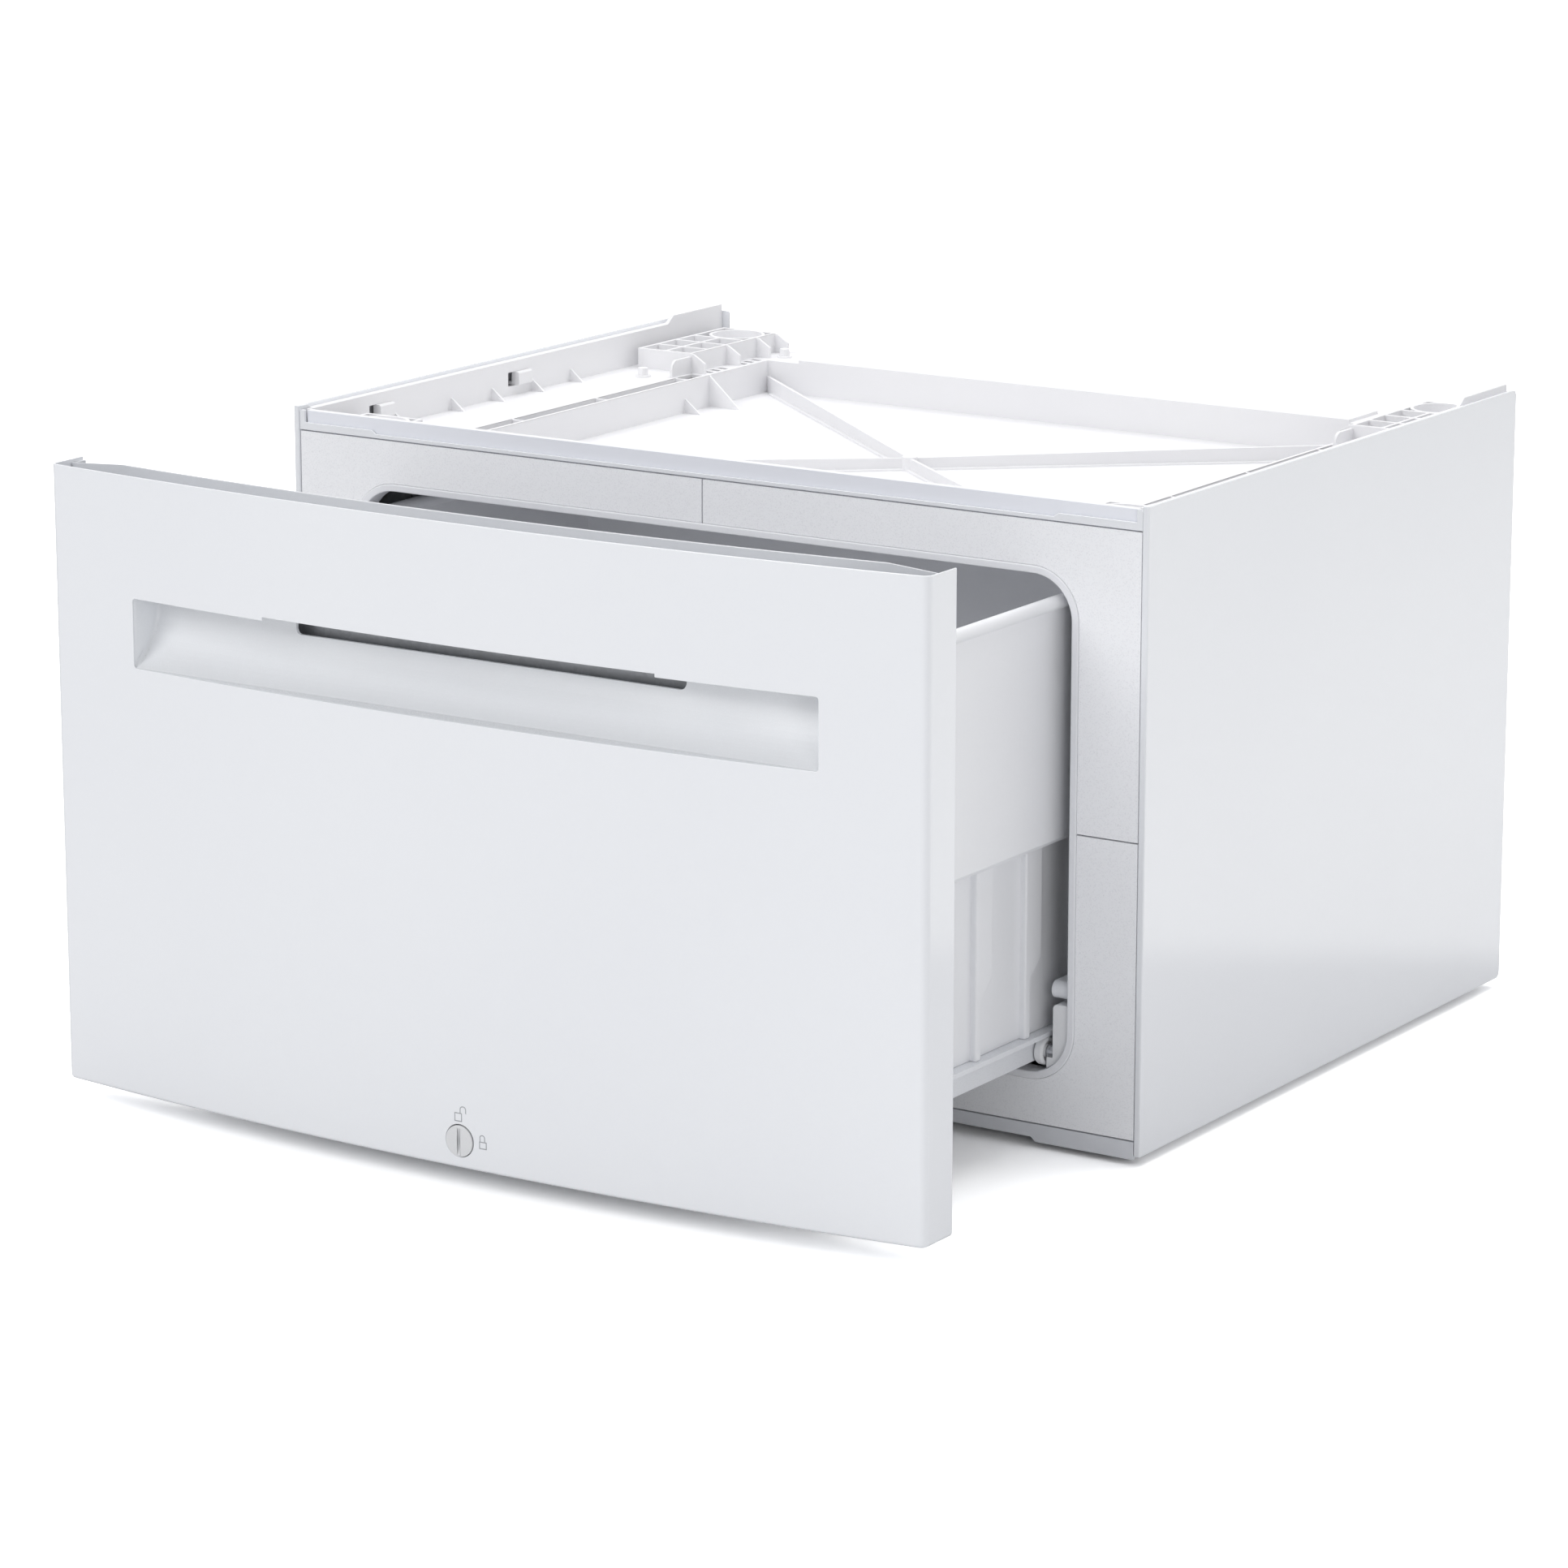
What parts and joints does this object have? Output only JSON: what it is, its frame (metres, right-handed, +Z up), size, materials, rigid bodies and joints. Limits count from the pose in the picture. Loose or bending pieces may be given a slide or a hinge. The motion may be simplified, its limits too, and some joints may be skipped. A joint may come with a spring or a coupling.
{
  "type": "laundry pedestal drawer",
  "caption": "Laundry pedestal with a bowed pull-out drawer on rollers, a recessed handle, a coin-slot lock, levelling feet and a moulded top tray with foot cups.",
  "frame": {"origin": "on the floor, midway between the four levelling feet", "axes": "+X to the right seen from the front, +Y to the rear, +Z up; the drawer slides along Y and is stored 200 mm open"},
  "size_m": [0.597, 0.7078, 0.385],
  "materials": {
    "painted_white": "gloss enamel on sheet steel",
    "deck_white": "satin moulded plastic",
    "bezel_grey": "fine sparkle, satin",
    "trim_white": "satin",
    "plinth_white": "satin",
    "tub_white": "satin moulded plastic",
    "frame_steel": "zinc coated sheet",
    "rail_white": "white epoxy coating",
    "roller_plastic": "smooth moulded plastic",
    "axle_steel": "turned steel",
    "fastener_steel": "zinc plated",
    "foot_plastic": "matt",
    "panel_grey": "satin",
    "scoop_white": "gloss, as the front's paint",
    "lock_plastic": "smooth",
    "bumper_rubber": "soft matt"
  },
  "bodies": {
    "cabinet": {"side_panel_left": "painted_white", "side_panel_right": "painted_white", "back_panel": "frame_steel", "side_frame_left": "frame_steel", "side_frame_right": "frame_steel", "base_plate": "frame_steel", "plinth_strip": "plinth_white", "front_frame": "frame_steel", "front_top_rail": "painted_white", "top_deck": "deck_white", "deck_clips": "deck_white", "bezel_upper_left": "bezel_grey", "bezel_upper_right": "bezel_grey", "bezel_lower_left": "bezel_grey", "bezel_lower_right": "bezel_grey", "opening_trim": "trim_white", "runner_left": "rail_white", "runner_right": "rail_white", "roller_bracket_left": "roller_plastic", "roller_bracket_right": "roller_plastic", "front_axle_left": "axle_steel", "front_axle_right": "axle_steel", "lock_striker": "axle_steel", "cabinet_screws": "fastener_steel", "foot_nuts": "fastener_steel"},
    "drawer": {"front_skin": "painted_white", "inner_panel": "panel_grey", "back_sheet": "frame_steel", "handle_scoop": "scoop_white", "drawer_tub": "tub_white", "drawer_rail_left": "rail_white", "drawer_rail_right": "rail_white", "rear_bracket_left": "frame_steel", "rear_bracket_right": "frame_steel", "rear_axle_left": "axle_steel", "rear_axle_right": "axle_steel", "lock_housing": "lock_plastic", "front_screws": "fastener_steel", "tub_screws": "fastener_steel", "bumper_pads": "bumper_rubber"},
    "front_roller_left_body": {"front_roller_left": "roller_plastic"},
    "front_roller_right_body": {"front_roller_right": "roller_plastic"},
    "rear_roller_left_body": {"rear_roller_left": "roller_plastic"},
    "rear_roller_right_body": {"rear_roller_right": "roller_plastic"},
    "lock": {"lock_knob": "lock_plastic", "lock_spindle": "axle_steel", "lock_cam": "axle_steel"},
    "foot_front_left": {"foot_stud_front_left": "fastener_steel", "foot_disc_front_left": "foot_plastic"},
    "foot_front_right": {"foot_stud_front_right": "fastener_steel", "foot_disc_front_right": "foot_plastic"},
    "foot_rear_left": {"foot_stud_rear_left": "fastener_steel", "foot_disc_rear_left": "foot_plastic"},
    "foot_rear_right": {"foot_stud_rear_right": "fastener_steel", "foot_disc_rear_right": "foot_plastic"}
  },
  "joints": [
    {"name": "drawer_slide", "type": "slide", "parent": "cabinet", "child": "drawer", "axis": [0, -1, 0], "range_m": [-0.2, 0.14]},
    {"name": "front_roller_left_turn", "type": "hinge", "parent": "cabinet", "child": "front_roller_left_body", "pos_m": [-0.2305, -0.221, 0.057], "axis": [1, 0, 0], "range_deg": [-1400, 1000]},
    {"name": "front_roller_right_turn", "type": "hinge", "parent": "cabinet", "child": "front_roller_right_body", "pos_m": [0.2305, -0.221, 0.057], "axis": [1, 0, 0], "range_deg": [-1400, 1000]},
    {"name": "rear_roller_left_turn", "type": "hinge", "parent": "drawer", "child": "rear_roller_left_body", "pos_m": [-0.2405, -0.018, 0.0799], "axis": [1, 0, 0], "range_deg": [-1400, 1000]},
    {"name": "rear_roller_right_turn", "type": "hinge", "parent": "drawer", "child": "rear_roller_right_body", "pos_m": [0.2405, -0.018, 0.0799], "axis": [1, 0, 0], "range_deg": [-1400, 1000]},
    {"name": "lock_turn", "type": "hinge", "parent": "drawer", "child": "lock", "pos_m": [0.002, -0.47, 0.03], "axis": [0, 1, 0], "range_deg": [0, 90]},
    {"name": "foot_front_left_screw", "type": "slide", "parent": "cabinet", "child": "foot_front_left", "axis": [0, 0, -1], "range_m": [0, 0.012]},
    {"name": "foot_front_right_screw", "type": "slide", "parent": "cabinet", "child": "foot_front_right", "axis": [0, 0, -1], "range_m": [0, 0.012]},
    {"name": "foot_rear_left_screw", "type": "slide", "parent": "cabinet", "child": "foot_rear_left", "axis": [0, 0, -1], "range_m": [0, 0.012]},
    {"name": "foot_rear_right_screw", "type": "slide", "parent": "cabinet", "child": "foot_rear_right", "axis": [0, 0, -1], "range_m": [0, 0.012]}
  ],
  "couplings": [
    {"joint": "front_roller_left_turn", "follows": "drawer_slide", "rad_per_m": 120.48},
    {"joint": "front_roller_right_turn", "follows": "drawer_slide", "rad_per_m": 120.48},
    {"joint": "rear_roller_left_turn", "follows": "drawer_slide", "rad_per_m": 120.48},
    {"joint": "rear_roller_right_turn", "follows": "drawer_slide", "rad_per_m": 120.48}
  ]
}
